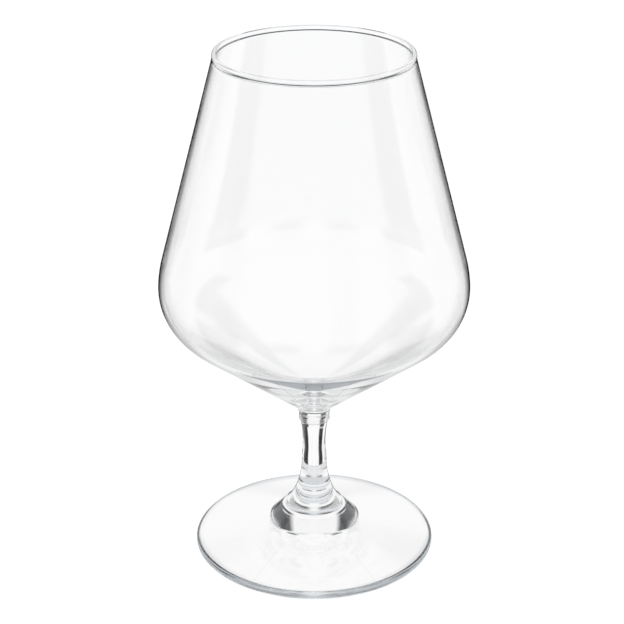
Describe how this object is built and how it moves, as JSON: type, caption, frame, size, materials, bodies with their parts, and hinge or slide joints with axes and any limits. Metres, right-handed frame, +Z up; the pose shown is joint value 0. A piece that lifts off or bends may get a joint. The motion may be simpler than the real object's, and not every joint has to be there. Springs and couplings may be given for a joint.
{
  "type": "brandy snifter",
  "caption": "Clear glass brandy snifter: a wide bowl that narrows to the rim, on a short waisted stem and a round foot.",
  "frame": {"origin": "centre of the ring on which the foot rests, on the glass's axis of revolution", "axes": "+Z up along the axis of revolution, from the foot to the rim; +X and +Y are alike, because the glass is round"},
  "size_m": [0.0938, 0.0938, 0.1604],
  "materials": {
    "clear_glass": "clear soda-lime glass, fire polished"
  },
  "bodies": {
    "root": {"bowl": "clear_glass", "stem": "clear_glass", "foot": "clear_glass"}
  },
  "joints": []
}
